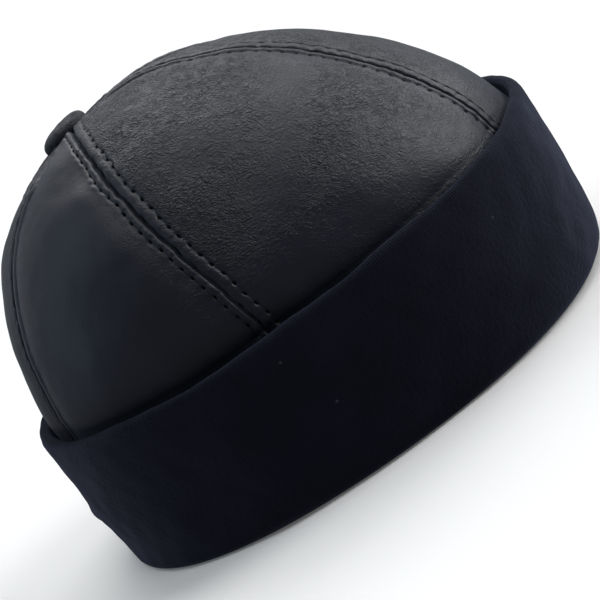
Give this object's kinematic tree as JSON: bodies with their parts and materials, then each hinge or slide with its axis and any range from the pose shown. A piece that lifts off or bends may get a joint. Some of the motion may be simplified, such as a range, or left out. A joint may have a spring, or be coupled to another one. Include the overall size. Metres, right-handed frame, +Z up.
{
  "type": "leather beanie with knit cuff",
  "caption": "Brimless cap: a domed crown of leather gores with a covered top button, open underneath for the head, and a wide knit cuff turned up round the rim.",
  "frame": {"origin": "middle of the rim's footprint, on the surface that the cap rests on", "axes": "+Z up through the crown, -Y towards the brow, +Y towards the nape, +X to the wearer's left"},
  "size_m": [0.1904, 0.2222, 0.1486],
  "materials": {
    "crown_leather": "soft semi-matt black nappa with a fine grain and tone-on-tone topstitching",
    "cuff_knit": "matt fine-gauge knit, near black with a navy cast",
    "button_leather": "the crown's leather stretched smooth over a button"
  },
  "bodies": {
    "root": {"crown_panel_front": "crown_leather", "crown_panel_front_right": "crown_leather", "crown_panel_back_right": "crown_leather", "crown_panel_back": "crown_leather", "crown_panel_back_left": "crown_leather", "crown_panel_front_left": "crown_leather", "cuff": "cuff_knit", "top_button": "button_leather"}
  },
  "joints": []
}
